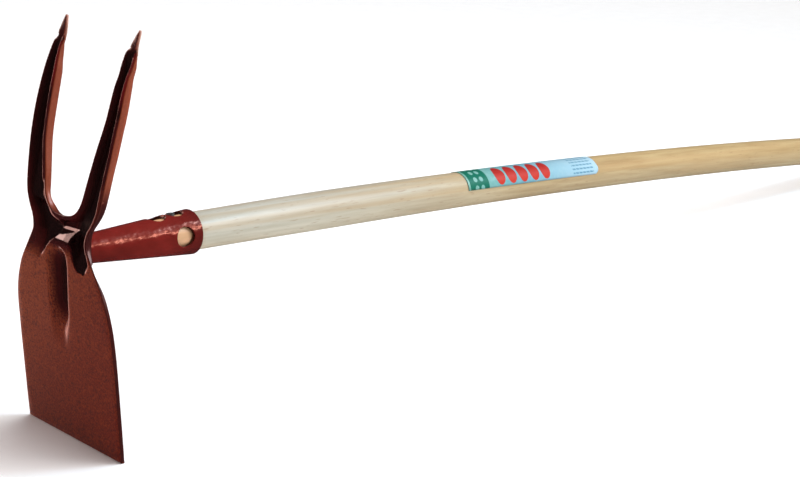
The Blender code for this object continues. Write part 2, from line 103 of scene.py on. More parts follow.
# Channel pressed into each tine and the neck: its wall, as (distance in from the rim, share of the depth), how its
# rim and wall shrink towards the tip, as (z, share), and its depth and the sheet's thickness there, as (z, metres)
WALL_FOOT = 0.005
WALL_PROFILE = (
    (0.0008, 0.0), (0.0016, 0.03), (0.0024, 0.12), (0.003, 0.27), (0.0035, 0.5), (0.0041, 0.81), (0.0046, 0.96),
    (WALL_FOOT, 1.0),
)
RIM_SHRINK = ((0.105, 1.0), (0.1262, 0.62), (0.1312, 0.5), (0.1427, 0.3))
CHANNEL_DEPTH = (
    (0.1, 0.004), (0.108, 0.0037), (0.1135, 0.0031), (0.118, 0.0026), (0.1225, 0.0017), (0.125, 0.001),
    (0.1275, 0.0005), (0.1427, 0.0004),
)
SHEET_THICKNESS = (
    (0.1, SHEET), (0.108, 0.0026), (0.1135, 0.0021), (0.118, 0.0019), (0.1225, 0.0015), (0.125, 0.0012),
    (0.1275, 0.001), (0.1427, 0.0008),
)

# The flange at the side of -y has a wider rim, as (z, how much), sets in on each tine between two heights and goes
# on as the ridge of the tip
RIDGE_RIM = (
    (0.018, 0.0), (0.04, 0.0012), (0.08, 0.001), (0.105, 0.0015), (0.121, 0.0012), (0.129, 0.0009),
    (0.1427, 0.0008),
)
LEFT_RIDGE_Z = (0.034, 0.044)
RIGHT_RIDGE_Z = (0.01, 0.018)

# The corner inside that rim is crisp halfway up: its wall, and the heights between which that begins and ends
CRISP_PROFILE = (
    (0.0021, 0.0), (0.0024, 0.03), (0.0027, 0.12), (0.0031, 0.32), (0.0036, 0.6), (0.0042, 0.88), (WALL_FOOT, 1.0),
)
CRISP_FROM = (0.032, 0.044)
CRISP_TO = (0.084, 0.108)

# The other flange drops away before the tip, as (z, share), where the sides keep this share of the sheet's thickness
LEFT_DROP = ((0.1258, 0.0), (0.1276, 0.33), (0.129, 0.78), (0.13, 1.0))
RIGHT_DROP = ((0.1288, 0.0), (0.1308, 0.28), (0.132, 0.68), (0.1328, 1.0))
TIP_SIDE_SHARE = 0.8

# Left of the crotch, from CROTCH_Y on, the channel is shallower, as (z, share), and the corner inside its near rim is
# rounder: it comes between the first two heights of CROTCH_Z and goes between the last two
CROTCH_SHALLOW = ((0.026, 1.0), (0.031, 0.45), (0.039, 0.65), (0.05, 0.82), (0.06, 1.0))
CROTCH_Y = (0.002, 0.01)
CROTCH_PROFILE = (
    (0.0002, 0.0), (0.0009, 0.03), (0.0027, 0.31), (0.0034, 0.5), (0.0041, 0.8), (0.0047, 0.96), (WALL_FOOT, 1.0),
)
CROTCH_Z = (0.022, 0.027, 0.036, 0.044)
CHANNEL_MIDDLE_Y = 0.026

# How far back the flanges' sides reach beyond the sheet's thickness, as (z, share of the depth), and how wide the
# folds of the back are rounded, as a share of the depth
FLANGE_SHARE = (
    (0.0, 0.25), (0.022, 0.1), (0.03, -0.3), (0.05, -0.3), (0.07, 0.22), (0.104, 0.22), (0.125, -0.35),
)
FOLD_ROUND_SHARE = 0.8

# Below the crotch the two channels join and are deeper: by how much from the middle to the near side, as (y, depth),
# how that ends across y and up z
LINK_DEPTH = ((-0.011, 0.0026), (0.0, 0.0006))
LINK_Y = (0.01, 0.042)
LINK_Z = (0.02, 0.032)

# Tongue of blade that reaches up between the channels: its edges as (z, y) and the width of the walls beside it
TONGUE_LEFT = (
    (-0.0106, 0.07), (-0.0092, 0.0225), (-0.0045, 0.017), (0.002, 0.0125), (0.006, 0.009), (0.009, 0.0048),
    (0.0115, 0.0018), (0.014, 0.0), (0.016, -0.0012), (0.019, -0.0015),
)
TONGUE_RIGHT = (
    (-0.0092, -0.07), (-0.008, -0.0265), (-0.0071, -0.0185), (-0.005, -0.0158), (-0.0005, -0.0132),
    (0.003, -0.0118), (0.006, -0.0105), (0.0085, -0.0092), (0.011, -0.0087), (0.014, -0.0093), (0.016, -0.0108),
    (0.0175, -0.0119), (0.02, -0.0134),
)
TONGUE_SIDE = 0.0026

# Slope over the top of the tongue: where it starts, as (y, z), its steepness, a flatter wedge across it whose lower
# edge rises towards the near side, as (y, z), and the heights of its last rise
SLOPE_START = ((-0.012, 0.0078), (-0.009, 0.0083), (-0.004, 0.009), (0.004, 0.0088))
SLOPE = 0.67
WEDGE_SLOPE = 0.33
WEDGE_FOOT = ((-0.011, 0.0159), (0.0, 0.0122))
LAST_RISE = (0.0159, 0.0177)

# Outer edge of the right channel's end beside the tongue, as (z, y), the width of its wall, and the heights between
# which both channels reach their depth
POCKET_RIM = (
    (-0.01, -0.0245), (-0.0061, -0.028), (-0.0004, -0.0305), (0.004, -0.03), (0.008, -0.033), (0.012, -0.06),
)
POCKET_SIDE = 0.0018
POCKET_FADE = (-0.0095, 0.012)

# The left channel's floor rises gently to its flange beside the tongue, as (z, where its wall ends)
POCKET_FOOT = ((-0.009, 0.016), (0.0, 0.015), (0.01, 0.011), (0.018, 0.0085), (0.028, WALL_FOOT))

# Draft of the outside of the neck: its flanges flare towards the front, as (z, inset of the back), over a width of
# so many insets
NECK_DRAFT = (
    (-0.03, 0.0003), (-0.018, 0.0006), (-0.006, 0.0028), (0.016, 0.0034), (0.03, 0.0012), (0.045, 0.0004),
)
DRAFT_REACH = 3.0

# Trough pressed into the tongue: its rim, as (z, y), its steep wall, as (distance in from the rim, share), and how
# much wider that gets down the blade, its soft side across y, its upper end and its fade down the blade
TROUGH_DEPTH = 0.005
TROUGH_RIM = (
    (-0.06, -0.0072), (-0.0358, -0.0084), (-0.01, -0.0098), (-0.003, -0.0094), (0.0, -0.0088),
    (0.0029, -0.0068), (0.005, -0.004), (0.0063, 0.0005), (0.007, 0.006),
)
TROUGH_WALL = ((0.0, 0.0), (0.0012, 0.03), (0.0022, 0.14), (0.0032, 0.45), (0.0042, 0.85), (0.005, 1.0))
TROUGH_FLARE = 0.9
TROUGH_FLARE_Z = (-0.052, -0.038)
TROUGH_SOFT_SIDE = (-0.0005, 0.0145)
TROUGH_END_Z = (-0.006, 0.0062)
TROUGH_FADE_Z = (-0.066, -0.026)

# Least distance between a mesh's points, as a share of the step between them, and margins: up from the cutting edge,
# between the outline and a ring of points, and for the width of a fold
CLEARANCE = 0.6
EDGE_MARGIN = 1e-6
RING_MARGIN = 1e-5
FOLD_MARGIN = 1e-4

# Mesh of the head: rounding of its cut edges, rings of points in from them, as shares of the rounding, and along the
# channels' walls, steps between the other points, and where the sheet is plain
HEAD_ROUND = 0.0007
HEAD_RINGS = (0.04, 0.15, 0.35, 0.65, 1.0)
WALL_RINGS = (
    0.001, 0.0014, 0.0018, 0.0021, 0.0024, 0.0027, 0.0031, 0.0035, 0.0039, 0.0043, 0.0047, 0.0052, 0.0057, 0.0062,
    0.0068,
)
WALL_RINGS_TOP = 0.1312
FINE_STEP = 0.0011
NECK_STEP = 0.0007
NECK_SPAN = ((-0.034, -0.046), (0.034, 0.024))
COARSE_STEP = 0.0035
HEAD_BOX = ((-0.052, EDGE_Z), (0.052, 0.143))
PLAIN_Z = (-0.06, -0.012)
PLAIN_Y = 0.014

# Socket: a cone rolled from sheet, with its seam underneath and round nail holes, as (x, degrees up from the near
# side), whose bores slant towards the head
MOUTH_RADIUS = 0.0153
SOCKET_TAPER = 0.07
SOCKET_WALL = 0.0021
SEAM_WIDTH = 0.0012
HOLE_DIAMETER = 0.0136
NAIL_HOLES = ((-0.0137, 6.0), (-0.0125, 100.0), (-0.0275, 98.0))
HOLE_SLANT = 0.0008
HOLE_REACH = 0.003

# Mesh of the socket: rounding of its edges, rings of points in from them, as shares of the rounding, the step between
# the other points, and the numbers of steps round a hole, along the seam and round the mouth
SOCKET_ROUND = 0.0005
SOCKET_RINGS = (0.1, 0.35, 0.65, 1.0)
SOCKET_STEP = 0.0014
HOLE_SIDES = 48
SEAM_STEPS = 60
MOUTH_STEPS = 84

# A distance in from the head's rim where the channels have their full depth
FAR_IN = 0.02

# Handle: its bow, as drop over the square of x, its radius, where it starts in the socket, swells to its radius and
# ends, and its rounded end
HANDLE_BOW = 0.03654
HANDLE_RADIUS = 0.014
HANDLE_START_X = -0.078
HANDLE_SWELL = (-0.02, 0.14)
HANDLE_END_X = 1.12
END_ROUND = 0.004
END_RINGS = 6
HANDLE_SIDES = 72
HANDLE_STEP = 0.006

# Label over the handle's upper side: its span along x and, in degrees up from the near side, round the handle, its
# corners' radius, the heights of its outside and inside over the wood, the step between its mesh's points and the
# numbers of steps along a side, round a corner and up its end
LABEL_SPAN = (0.27, 0.443)
LABEL_ANGLES = (10.0, 170.0)
LABEL_CORNER = 0.006
LABEL_LIFTS = (0.00045, 0.000225)
LABEL_STEP = 0.002
LABEL_STEPS = (80, 8, 20)

# Print of the label, in metres along and round the handle: a band with dots, a row of discs and their reds, as (place
# round the handle, colour), and dashed lines
PRINT_BAND = (0.2725, 0.2955)
DOT_SPAN = (0.277, 0.291)
DOT_SPACING = 0.007
DOT_RADIUS = 0.0022
DISC_SPAN = (0.304, 0.3775)
DISC_SPACING = 0.0147
DISC_MIDDLE = 0.0125
DISC_REACH = (0.0062, 0.0088)
DISC_REDS = ((0.006, (0.46, 0.034, 0.02)), (0.018, (0.3, 0.014, 0.012)))
RULE_SPAN = (0.407, 0.436)
RULE_SPACING = 0.0034
RULE_HALF_WIDTH = 0.0007
RULE_DASH = 0.005
RULE_DASH_HALF = 0.4 * RULE_DASH

# Shade painted into the lacquer on the front, as shares of its darkness, and where across y or up z it changes: on the
# rims and the ridges of the tines, whose rounded edges get a dark red band of painted shade higher up
UPPER_DARK_Z = (-0.003, 0.012)
RIM_DARK = (0.7, 0.86)
RIM_DARK_Z = (0.045, 0.06)
RIDGE_PALER = 0.2
RED_BAND = 2.0
RED_BAND_Z = (0.085, 0.11)
TIP_DARK = (0.1, 0.8)

# Less painted shade on the channel's floor below the crotch: how far from its middle, and where that comes and goes
FLOOR_PALER = 0.22
FLOOR_MIDDLE_Y = -0.003
FLOOR_REACH = (0.007, 0.016)
FLOOR_FROM = (0.013, 0.019)
FLOOR_TO = (0.024, 0.03)

# Painted shade in the pockets beside the tongue, on the left one's flank and in the trough, as a power of its depth
POCKET_DARK_SIDE = 0.0009
POCKET_DARK = 0.62
POCKET_DARK_Z = (-0.012, 0.002)
FLANK_DARK = 0.58
FLANK_SHARE = 0.8
FLANK_Y = (0.012, 0.019)
FLANK_Z = (0.0095, 0.0125)
TROUGH_DARK = 0.93
TROUGH_DARK_POWER = 0.7
TROUGH_DARK_Z = (-0.058, -0.032)

# Warm brown on the cut sides, outside and inside the tines, and a pale painted highlight on the tips. The paint of the
# front sets in from the cut edge on and covers the blade's back, up to these heights
OUTER_WARM_Z = (0.036, 0.056)
INNER_WARM_Z = (0.024, 0.03)
INNER_WARM = 0.8
PAINTED_TIP_HIGHLIGHT_Z = (0.1275, 0.132)
FRONT_PAINT_EDGE = 1.2 * HEAD_ROUND
BLADE_BACK_Z = (-0.036, -0.014)

# Added to x where a colour ramp reads it, since a ramp starts at 0
RAMP_SHIFT = 0.1

# Tints of the highlights in the lacquer of the head and the socket
HIGHLIGHT_TINT = (1.0, 0.62, 0.55)
SOCKET_TINT = (1.0, 0.34, 0.22)

# Camera, solved from the photo's outlines, in the tool's frame: its axes to the right, up and back, and its place
CAMERA_AXES = ((0.68377, -0.72491, 0.08345), (0.13423, 0.23736, 0.9621), (-0.71725, -0.64665, 0.2596))
CAMERA_PLACE = (-0.65141, -0.77659, 0.27768)
CAMERA_LENS = 70.307

# Studio's bright wall: its direction, and the glow around that direction as (cosine, colour)
BRIGHT_WALL = (0.12, 0.96, -0.26)
WALL_GLOW = ((0.89, (0.055, 0.05, 0.05)), (0.95, (4.6, 2.45, 2.05)))

# Colours of the panels on the near and the far side, and the floor's size
COOL_LIGHT = (0.58, 0.82, 1.0)
ROSY_LIGHT = (1.0, 0.8, 0.75)
FLOOR_RADIUS = 40.0


def ease(value, start, end):
    """0 at start and before, 1 at end and after, with a smooth rise between."""
    t = np.clip((value - start) / (end - start), 0.0, 1.0)
    return t * t * (3.0 - 2.0 * t)


def mix(a, b, t):
    return a + (b - a) * t


def linear(controls, at):
    """Straight lines through (place, value) controls, held level past both ends."""
    return np.interp(at, *zip(*controls))


def through(controls, at):
    """Smooth function through (place, value) controls, held level past both ends."""
    places, values = np.array(controls).T
    slopes = np.gradient(values, places)
    at = np.clip(at, places[0], places[-1])
    i = np.clip(np.searchsorted(places, at) - 1, 0, len(places) - 2)
    width = places[i + 1] - places[i]
    t = (at - places[i]) / width
    bulge = width * t * (1.0 - t) * ((1.0 - t) * slopes[i] - t * slopes[i + 1])
    return mix(values[i], values[i + 1], t * t * (3.0 - 2.0 * t)) + bulge


def smooth_curve(controls, last=None):
    """Points a fine step apart along a Catmull-Rom curve; last is the point that it heads for at its end."""
    points = [Vector(c) for c in controls]
    points = [2 * points[0] - points[1]] + points + [last or 2 * points[-1] - points[-2]]
    found = []
    for a, b, c, d in zip(points, points[1:], points[2:], points[3:]):
        count = max(1, round((c - b).length / FINE_STEP))
        for i in range(count):
            t = i / count
            bend = (2 * a - 5 * b + 4 * c - d) * t + (3 * b - a - 3 * c + d) * t * t
            found.append(b + 0.5 * t * ((c - a) + bend))
    found.append(points[-2])
    return found


def front_x(z):
    return through(FRONT_CURVE, z)


def edge_scale(z):
    """How far the channel's rim and wall shrink with the tine towards its tip."""
    return linear(RIM_SHRINK, z)


def beside_tongue(y, z, side=TONGUE_SIDE):
    """1 in the channels beside the tongue, 0 on the tongue and the blade, with walls of the side's width."""
    left, right, rim = (linear(edge, z) for edge in (TONGUE_LEFT, TONGUE_RIGHT, POCKET_RIM))
    return ease(np.maximum(y - left, right - y), 0.0, side) * ease(y - rim, 0.0, POCKET_SIDE)


def tongue_slope(y, z):
    """Share of the channels' depth reached over the top of the tongue."""
    start, foot = linear(SLOPE_START, y), linear(WEDGE_FOOT, y)
    low, high = LAST_RISE

    def fall(z):
        steep = np.clip(z, start, foot) - start + np.clip(z, low, high) - low
        return SLOPE * steep + WEDGE_SLOPE * (np.clip(z, foot, low) - foot)

    return fall(z) / fall(high)


def channel_depth(y, z):
    """Depth of the channel at its middle: full in the tines, none in the tongue and the blade."""
    depth = through(CHANNEL_DEPTH, z) * mix(1.0, through(CROTCH_SHALLOW, z), ease(y, *CROTCH_Y))
    depth = depth + linear(LINK_DEPTH, y) * (1.0 - ease(abs(y), *LINK_Y)) * (1.0 - ease(z, *LINK_Z))
    return depth * np.maximum(beside_tongue(y, z) * ease(z, *POCKET_FADE), tongue_slope(y, z))


def ridge_wall(y, z):
    """Share of the channel's depth reached across a tine from its flange at the side of -y."""
    right = linear(RIGHT_RIDGE_EDGE, z) - linear(RIGHT_SPREAD, z)
    edge = np.where(y > 0.0, linear(LEFT_RIDGE_EDGE, z), right)
    inside = (y - edge - through(RIDGE_RIM, z)) / edge_scale(z)
    crisp = ease(z, *CRISP_FROM) * (1.0 - ease(z, *CRISP_TO))
    wall = mix(through(WALL_PROFILE, inside), through(CRISP_PROFILE, inside), crisp)
    return mix(1.0, wall, np.where(y > 0.0, ease(z, *LEFT_RIDGE_Z), ease(z, *RIGHT_RIDGE_Z)))


def dropped(y, z):
    """0 below the end of the flange at the side of +y, 1 past it, on the tip."""
    return np.where(y > 0.0, through(LEFT_DROP, z), through(RIGHT_DROP, z))


def channel_wall(y, z, inward):
    """Share of the channel's depth reached at a scaled distance inward from the rim."""
    foot = np.where(y > 0.0, linear(POCKET_FOOT, z), WALL_FOOT)
    start, low, high, end = CROTCH_Z
    crotch = ease(y, *CROTCH_Y) * ease(z, start, low) * (1.0 - ease(z, high, end)) * (y < CHANNEL_MIDDLE_Y)
    scaled = inward * WALL_FOOT / foot
    wall = mix(through(WALL_PROFILE, scaled), through(CROTCH_PROFILE, scaled), crotch)
    return np.minimum(mix(wall, 1.0, dropped(y, z)), ridge_wall(y, z))


def trough_share(y, z):
    """How deep the trough is at (y, z), as a share of its full depth."""
    spread = 1.0 + TROUGH_FLARE * (1.0 - ease(z, *TROUGH_FLARE_Z))
    steep = through(TROUGH_WALL, (y - linear(TROUGH_RIM, z)) / spread)
    soft = 1.0 - ease(y, *TROUGH_SOFT_SIDE)
    return steep * soft * (1.0 - ease(z, *TROUGH_END_Z)) * ease(z, *TROUGH_FADE_Z)


def head_front(y, z, inward):
    """x of the front surface at (y, z), a scaled distance inward from the rim."""
    return front_x(z) + channel_depth(y, z) * channel_wall(y, z, inward) + TROUGH_DEPTH * trough_share(y, z)


def head_back(y, z, inward):
    """x of the back surface, whose corners are rounded where the sheet folds into a channel."""
    depth = channel_depth(y, z)
    sheet = through(SHEET_THICKNESS, z)
    tip_side = depth + TIP_SIDE_SHARE * sheet
    side = mix(sheet + through(FLANGE_SHARE, z) * depth, tip_side, dropped(y, z) * ridge_wall(y, z))
    full = sheet + depth
    fold = np.clip(inward / (FOLD_ROUND_SHARE * depth + FOLD_MARGIN), 0.0, 1.0)
    rounded = side + (full - side) * np.sqrt(1.0 - (1.0 - fold) ** 2)
    return front_x(z) + rounded + TROUGH_DEPTH * trough_share(y, z)


def edge_drop(distance, radius):
    """How far a surface falls back where its edge is rounded off, at a distance in from that edge."""
    inside_edge = np.clip(1.0 - distance / radius, 0.0, 1.0)
    return radius * (1.0 - np.sqrt(1.0 - inside_edge**2))


def filled_in(points):
    """The points with more put between them, about a fine step apart."""
    found = [points[0]]
    for a, b in zip(points, points[1:]):
        count = max(1, round(math.dist(a, b) / FINE_STEP))
        found += [tuple(mix(np.array(a), np.array(b), i / count)) for i in range(1, count + 1)]
    return [Vector(p) for p in found]


def head_outline():
    """The whole outline, anticlockwise in (y, z)."""
    middle = Vector((-LEFT_INNER[-2][0], LEFT_INNER[-2][1]))
    outer = smooth_curve(OUTER_CURVE)
    left = outer + filled_in(LEFT_NOTCHED) + filled_in(LEFT_PLAIN)[::-1] + smooth_curve(LEFT_INNER, middle)
    right = [Vector((-p.x, p.y)) for p in reversed(smooth_curve(RIGHT_INNER, middle)[:-1])]
    right += filled_in(RIGHT_NOTCHED) + filled_in(RIGHT_PLAIN)[::-1]
    right += [Vector((-p.x - linear(RIGHT_SPREAD, p.y), p.y)) for p in reversed(outer)]
    corner = OUTER_CURVE[0][0]
    count = round(2 * corner / COARSE_STEP)
    bottom = [Vector((mix(-corner, corner, i / count), EDGE_Z)) for i in range(1, count)]
    return left + right + bottom


def inward_normals(loop):
    found = []
    for before, after in zip(loop[-1:] + loop[:-1], loop[1:] + loop[:1]):
        along = (after - before).normalized()
        found.append(Vector((-along.y, along.x)))
    return found


def nearest_on(points, chain):
    """Distance and direction to each of the points from the nearest spot on the open chain."""
    chain = np.array([tuple(p) for p in chain])
    away = np.full(points.shape, 1.0)
    for start, end in zip(chain[:-1], chain[1:]):
        along = end - start
        t = np.clip((points - start) @ along / (along @ along), 0.0, 1.0)
        here = points - start - t[:, None] * along
        nearer = (here**2).sum(axis=1) < (away**2).sum(axis=1)
        away[nearer] = here[nearer]
    distance = np.linalg.norm(away, axis=1)
    return distance, away / np.clip(distance, 1e-9, None)[:, None]


def within(points, loops):
    """Which of the points lie inside the loops, holes left out."""
    found = np.zeros(len(points), bool)
    for loop in loops:
        for a, b in zip(loop, loop[1:] + loop[:1]):
            crosses = (a.y > points[:, 1]) != (b.y > points[:, 1])
            with np.errstate(divide="ignore", invalid="ignore"):
                at = a.x + (points[:, 1] - a.y) / (b.y - a.y) * (b.x - a.x)
            found ^= crosses & (points[:, 0] < at)
    return found


def thinned(points, taken, step):
    """Those of the points, a step apart, that keep clear of the points already taken."""
    taken = np.array([tuple(p) for p in taken])
    return [tuple(p) for p in points if ((taken - p) ** 2).sum(axis=1).min() > (CLEARANCE * step) ** 2]


def triangulate(loops, extra):
    """Triangles inside the loops, through the points of the loops and the extra ones: flat points and faces."""
    points = [p for loop in loops for p in loop]
    edges = []
    first = 0
    for loop in loops:
        edges += [(first + i, first + (i + 1) % len(loop)) for i in range(len(loop))]
        first += len(loop)
    found, _, faces, *_ = delaunay_2d_cdt(points + [Vector(p) for p in extra], edges, [], 0, 1e-7)
    flat = np.array([tuple(p) for p in found])
    middles = flat[np.array([list(face) for face in faces])].mean(axis=1)
    kept = [face for face, is_inside in zip(faces, within(middles, loops)) if is_inside]
    return flat, kept


def grid(low, high, step):
    """Points of a triangular grid over a rectangle."""
    rise = step * math.sqrt(0.75)
    rows = range(1, int((high[1] - low[1]) / rise) + 1)
    columns = range(int((high[0] - low[0]) / step) + 1)
    return np.array([(low[0] + (c + 0.5 * (r % 2)) * step, low[1] + r * rise) for r in rows for c in columns])


def filling(loops, taken, step):
    """Points about a step apart inside the loops, clear of the points already taken."""
    edge = np.array([tuple(p) for p in loops[0]])
    spots = grid(edge.min(axis=0), edge.max(axis=0), step)
    return thinned(spots[within(spots, loops)], taken, step)


def tool_object(name, points, faces, material, tones):
    """A smooth piece, drawn in the tool's frame and stood up in its pose, with a vector per point for each tone."""
    mesh = bpy.data.meshes.new(name)
    mesh.from_pydata([POSE @ Vector(p) for p in points], [], faces)
    work = bmesh.new()
    work.from_mesh(mesh)
    bmesh.ops.recalc_face_normals(work, faces=work.faces)
    work.to_mesh(mesh)
    work.free()
    mesh.shade_smooth()
    mesh.materials.append(material)
    for key, values in tones.items():
        layer = mesh.attributes.new(key, "FLOAT_VECTOR", "POINT")
        layer.data.foreach_set("vector", np.asarray(values, float).ravel())
    made = bpy.data.objects.new(name, mesh)
    bpy.context.scene.collection.objects.link(made)
    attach(made, "root")
    return made


def plate_faces(faces, count):
    """Faces of a closed plate whose front and back both have this layout, with walls along its edges."""
    sides = {(a, b) for face in faces for a, b in zip(face, face[1:] + face[:1])}
    closed = [(a, c, b) for a, b, c in faces] + [(a + count, b + count, c + count) for a, b, c in faces]
    return closed + [(a, b, b + count, a + count) for a, b in sides if (b, a) not in sides]


def head_zone(y, z):
    """How finely the head is drawn at (y, z): 2 at the neck, 1 where it's pressed, 0 where it's plain."""
    (left, low), (right, high) = NECK_SPAN
    at_neck = (y > left) & (y < right) & (z > low) & (z < high)
    is_pressed = (z > PLAIN_Z[1]) | ((z > PLAIN_Z[0]) & (abs(y) < PLAIN_Y))
    return np.where(at_neck, 2, np.where(is_pressed, 1, 0))


def head_layout():
    """Layout that the head's front and back share, as flat points and faces, and its outline."""
    outline = head_outline()
    normals = inward_normals(outline)
    extra = []
    for offset in [share * HEAD_ROUND for share in HEAD_RINGS] + list(WALL_RINGS):
        for point, normal in zip(outline, normals):
            if offset <= HEAD_ROUND or PLAIN_Z[1] < point.y < WALL_RINGS_TOP:
                extra.append(tuple(point + normal * (offset * float(edge_scale(point.y)))))
    extra = np.array(extra)
    room, _ = nearest_on(extra, outline + outline[:1])
    extra = extra[within(extra, [outline]) & (room > RING_MARGIN)]
    fill = []
    for step, zone in ((NECK_STEP, 2), (FINE_STEP, 1), (COARSE_STEP, 0)):
        spots = grid(*HEAD_BOX, step)
        spots = spots[(head_zone(*spots.T) == zone) & within(spots, [outline])]
        fill += thinned(spots, extra, step)
    flat, faces = triangulate([outline], [tuple(p) for p in extra] + fill)
    return flat, faces, outline


def drawn_in(flat, outline, distance, inward):
    """The layout for the back, drawn in along its edge where the neck's flanges flare."""
    inward = inward.copy()
    inward[: len(outline)] = [tuple(n) for n in inward_normals(outline)]
    inset = through(NECK_DRAFT, flat[:, 1])
    share = np.clip(1.0 - distance / (DRAFT_REACH * inset), 0.0, 1.0) ** 2
    return flat + inward * (inset * share)[:, None]


def painted_shade_depth(y, z, inward):
    """Shade painted into the front's lacquer: 0 on the blade, 1 in the channels, and 2 on the red bands up the ridges.
    """
    wall, ridge = channel_wall(y, z, inward), ridge_wall(y, z)
    floor = (1.0 - ease(abs(y - FLOOR_MIDDLE_Y), *FLOOR_REACH)) * ease(z, *FLOOR_FROM) * (1.0 - ease(z, *FLOOR_TO))
    upper = mix(mix(*RIM_DARK, ease(z, *RIM_DARK_Z)), 1.0, wall)
    upper = upper - RIDGE_PALER * (1.0 - ridge) - FLOOR_PALER * floor * wall
    left_pocket = np.maximum(POCKET_DARK, wall) * ease(z, *POCKET_DARK_Z)
    pocket = beside_tongue(y, z, POCKET_DARK_SIDE) * np.where(y > 0.0, left_pocket, wall)
    flank = FLANK_SHARE * ease(y, *FLANK_Y) * (1.0 - ease(z, *FLANK_Z))
    painted_shade = mix(np.maximum(ease(z, *UPPER_DARK_Z) * upper, pocket), FLANK_DARK * pocket / POCKET_DARK, flank)
    trough = TROUGH_DARK * trough_share(y, z) ** TROUGH_DARK_POWER * ease(z, *TROUGH_DARK_Z)
    band = (1.0 - ridge) * ease(z, *RED_BAND_Z)
    return mix(mix(np.maximum(painted_shade, trough), RED_BAND, band), mix(*TIP_DARK, ridge), dropped(y, z))


def side_warmth(flat, inward):
    """How far the cut sides are warm brown: 0 on the neck and the blade, 1 on the tines, 2 on the tips with their
    painted highlight.
    """
    y, z = flat.T
    is_outer = inward[:, 0] * y < 0.0
    return np.where(is_outer, ease(z, *OUTER_WARM_Z), INNER_WARM * ease(z, *INNER_WARM_Z)) + ease(z, *PAINTED_TIP_HIGHLIGHT_Z)


def head_paint_values(flat, distance, scale, inward):
    """For the front's points and then the back's: how far they are on the front, how much shade is painted on them and
    how warm they are.
    """
    on_front = ease(distance, 0.0, FRONT_PAINT_EDGE)
    painted_shade = painted_shade_depth(*flat.T, distance / scale)
    warm = side_warmth(flat, inward)
    is_blade = 1.0 - ease(flat[:, 1], *BLADE_BACK_Z)
    front = np.column_stack([on_front, painted_shade, warm])
    back = np.column_stack([on_front * is_blade, painted_shade * (1.0 - is_blade), warm])
    return np.concatenate([front, back])


def make_head(material):
    flat, faces, outline = head_layout()
    rim = [p for p in outline if p.y > EDGE_Z + EDGE_MARGIN]
    distance, inward = nearest_on(flat, rim)
    scale = edge_scale(flat[:, 1])
    behind = drawn_in(flat, outline, distance, inward)
    edge_room = np.minimum(distance, flat[:, 1] - EDGE_Z)
    drop = edge_drop(edge_room, HEAD_ROUND * scale)
    fronts = np.column_stack([head_front(*flat.T, distance / scale) + drop, flat])
    backs = np.column_stack([head_back(*behind.T, distance / scale) - drop, behind])
    on_edge = flat[:, 1] < EDGE_Z + EDGE_MARGIN
    backs[on_edge, 1] = flat[on_edge, 0]
    backs[on_edge, 2] = EDGE_Z + (backs[on_edge, 0] - fronts[on_edge, 0]) * math.tan(LEAN)
    points = np.concatenate([fronts, backs])
    tones = {"paint": head_paint_values(flat, distance, scale, inward)}
    head = tool_object("head_steel", points, plate_faces(faces, len(flat)), material, tones)
    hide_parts("head")


def socket_radius(x):
    return MOUTH_RADIUS + SOCKET_TAPER * x


def round_points(x, turn, radius):
    """Points on circles round the socket's axis; the turn runs up from the near side."""
    return np.column_stack([x, -radius * np.cos(turn), radius * np.sin(turn)])


def socket_foot(turn):
    """x where the socket meets the back of the head, at angles in radians."""
    radius = socket_radius(NECK_X + SHEET)
    return head_back(-radius * np.cos(turn), radius * np.sin(turn), FAR_IN) + 2 * GAP


def hole_loop(x, angle, inward=0.0):
    """Edge of a nail hole on the unrolled socket, as (x, angle in radians times the mouth's radius)."""
    reach = HOLE_DIAMETER / 2 + inward
    loop = []
    for i in range(HOLE_SIDES):
        t = -2 * math.pi * i / HOLE_SIDES
        along = x + reach * math.cos(t)
        turn = math.radians(angle) + math.asin(reach * math.sin(t) / socket_radius(along))
        loop.append(Vector((along, turn * MOUTH_RADIUS)))
    return loop


def socket_loop():
    """Edge of the unrolled socket: up one side of the seam, along the mouth, back down and along the foot."""
    half_seam = SEAM_WIDTH / 2 / MOUTH_RADIUS
    low, high = -math.pi / 2 + half_seam, 1.5 * math.pi - half_seam
    foot = float(socket_foot(low))
    along = [mix(foot, 0.0, i / SEAM_STEPS) for i in range(SEAM_STEPS)]
    turns = [mix(low, high, i / MOUTH_STEPS) for i in range(MOUTH_STEPS)]
    loop = [Vector((x, low * MOUTH_RADIUS)) for x in along]
    loop += [Vector((0.0, t * MOUTH_RADIUS)) for t in turns]
    loop += [Vector((foot - x, high * MOUTH_RADIUS)) for x in along]
    loop += [Vector((float(socket_foot(t)), t * MOUTH_RADIUS)) for t in [low + high - t for t in turns]]
    return loop


def bore_places(x, turn):
    """Where the points of the socket's outside lie on its bore: slanted at the holes, whose walls run straight in."""
    bore_x, bore_turn = x.copy(), turn.copy()
    for hole_x, angle in NAIL_HOLES:
        away = turn - math.radians(angle)
        distance = np.hypot(x - hole_x, away * socket_radius(x))
        share = 1.0 - ease(distance, HOLE_DIAMETER / 2, HOLE_DIAMETER / 2 + HOLE_REACH)
        bore_turn += share * away * SOCKET_WALL / (socket_radius(x) - SOCKET_WALL)
        bore_x -= share * HOLE_SLANT
    return bore_x, bore_turn


